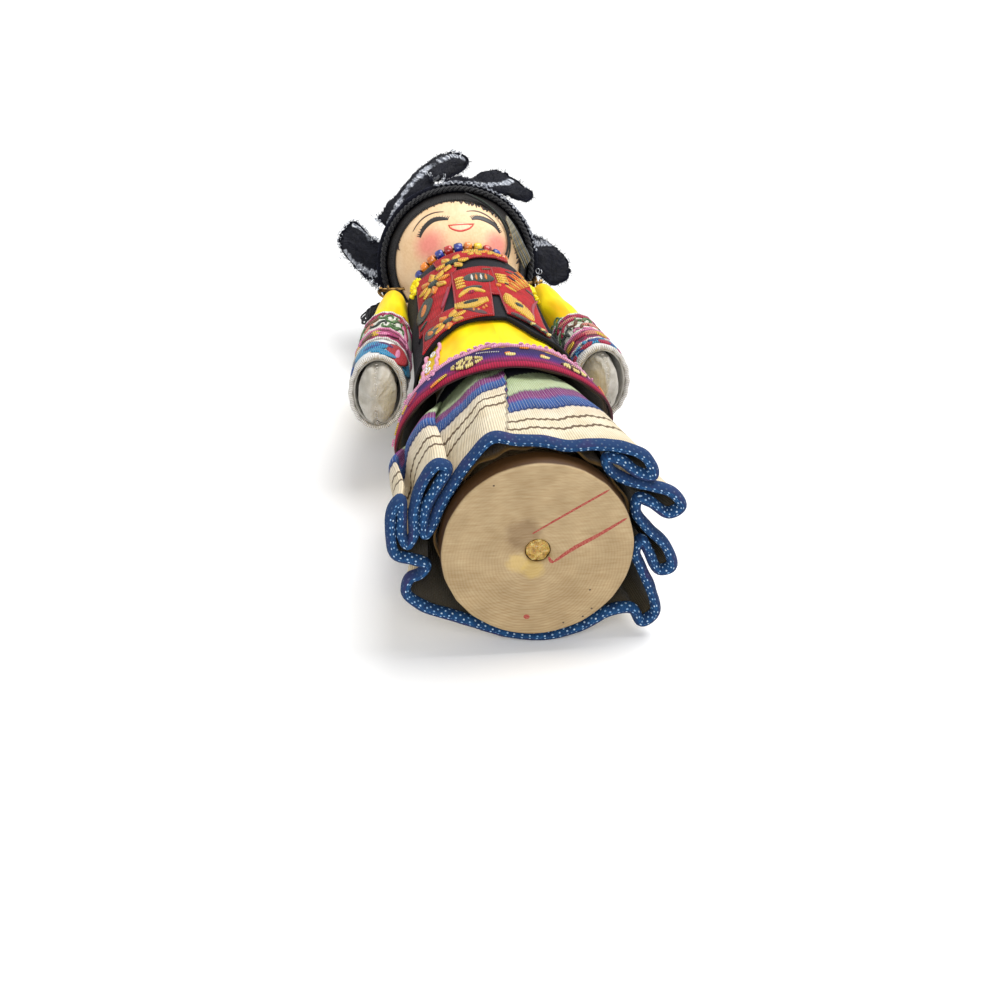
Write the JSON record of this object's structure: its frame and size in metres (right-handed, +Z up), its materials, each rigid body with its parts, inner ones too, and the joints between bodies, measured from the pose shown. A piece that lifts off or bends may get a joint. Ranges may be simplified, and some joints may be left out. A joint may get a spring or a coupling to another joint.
{
  "type": "folk costume doll",
  "caption": "Standing wooden doll with a ball head on a round disc, a pleated cloth skirt, satin tunic, braided vest, flapped hat, swinging stuffed arms and dangling earrings.",
  "frame": {"origin": "centre of the box at its lowest point, which is the middle of the base disc's underside to about 1 mm", "axes": "+Z up along the body, and the doll faces -Y, so its right arm is on -X"},
  "size_m": [0.0737, 0.0537, 0.2106],
  "materials": {
    "base_wood": "matte",
    "body_wood": "matte",
    "head_paint": "satin",
    "glue": "gloss",
    "skirt_cotton": "matte",
    "piping_print": "matte",
    "lining_cotton": "matte",
    "waistband_cotton": "matte",
    "yellow_satin": "satin",
    "tunic_braid": "satin",
    "pink_picot": "matte",
    "vest_cloth": "matte",
    "collar_braid": "matte",
    "vest_braid": "matte",
    "blue_bead": "gloss",
    "orange_bead": "gloss",
    "red_bead": "gloss",
    "yellow_bead": "gloss",
    "thread": "matte",
    "hand_cotton": "matte",
    "peg_wood": "matte",
    "cuff_blue_leaf": "matte",
    "cuff_burgundy": "matte",
    "cuff_green_scroll": "matte",
    "hair_paint": "satin",
    "black_cord": "satin",
    "black_velvet": "matte",
    "black_yarn": "matte",
    "antique_brass": "satin",
    "crystal": "gloss"
  },
  "bodies": {
    "doll": {"base_disc": "base_wood", "body_core": "body_wood", "head_ball": "head_paint", "glue_plug": "glue", "centre_dowel": "peg_wood", "skirt": "skirt_cotton", "hem_piping": "piping_print", "skirt_lining": "lining_cotton", "waistband": "waistband_cotton", "tunic": "yellow_satin", "tunic_hem_ribbon": "tunic_braid", "tunic_hem_cord": "pink_picot", "vest": "vest_cloth", "collar": "collar_braid", "vest_ribbon_neck": "vest_braid", "vest_ribbon_right": "vest_braid", "vest_ribbon_centre": "vest_braid", "vest_ribbon_left": "vest_braid", "vest_ribbon_hem": "vest_braid", "necklace_bead_01": "blue_bead", "necklace_bead_02": "orange_bead", "necklace_bead_03": "orange_bead", "necklace_bead_04": "blue_bead", "necklace_bead_05": "red_bead", "necklace_bead_06": "blue_bead", "necklace_bead_07": "orange_bead", "necklace_bead_08": "yellow_bead", "necklace_bead_09": "red_bead", "necklace_bead_10": "blue_bead", "necklace_bead_11": "orange_bead", "necklace_thread": "thread", "shoulder_peg_right": "peg_wood", "shoulder_peg_left": "peg_wood", "hair": "hair_paint", "headband_cord": "black_cord", "hat_cap": "black_velvet", "hat_flap_front": "black_velvet", "hat_flap_side": "black_velvet", "hat_flap_right": "black_velvet", "hat_flap_left": "black_velvet", "side_tassel": "black_yarn", "ear_pin_right": "antique_brass", "ear_pin_left": "antique_brass"},
    "arm_right": {"sleeve_right": "yellow_satin", "stuffed_arm_right": "hand_cotton", "cuff_lower_right": "cuff_blue_leaf", "cuff_middle_right": "cuff_burgundy", "cuff_upper_right": "cuff_green_scroll"},
    "arm_left": {"sleeve_left": "yellow_satin", "stuffed_arm_left": "hand_cotton", "cuff_lower_left": "cuff_blue_leaf", "cuff_middle_left": "cuff_burgundy", "cuff_upper_left": "cuff_green_scroll"},
    "earring_right": {"earring_hoop_right": "antique_brass", "earring_crystal_right": "crystal"},
    "earring_left": {"earring_hoop_left": "antique_brass", "earring_crystal_left": "crystal"}
  },
  "joints": [
    {"name": "arm_right_swing", "type": "hinge", "parent": "doll", "child": "arm_right", "pos_m": [-0.0222, 0, 0.144], "axis": [-1, 0, 0], "range_deg": [-35, 100]},
    {"name": "arm_left_swing", "type": "hinge", "parent": "doll", "child": "arm_left", "pos_m": [0.0222, 0, 0.144], "axis": [-1, 0, 0], "range_deg": [-35, 100]},
    {"name": "earring_right_swing", "type": "hinge", "parent": "doll", "child": "earring_right", "pos_m": [-0.0217, 0.003, 0.165], "axis": [-1, 0, 0], "range_deg": [-30, 60]},
    {"name": "earring_left_swing", "type": "hinge", "parent": "doll", "child": "earring_left", "pos_m": [0.0217, 0.003, 0.165], "axis": [-1, 0, 0], "range_deg": [-30, 60]}
  ]
}
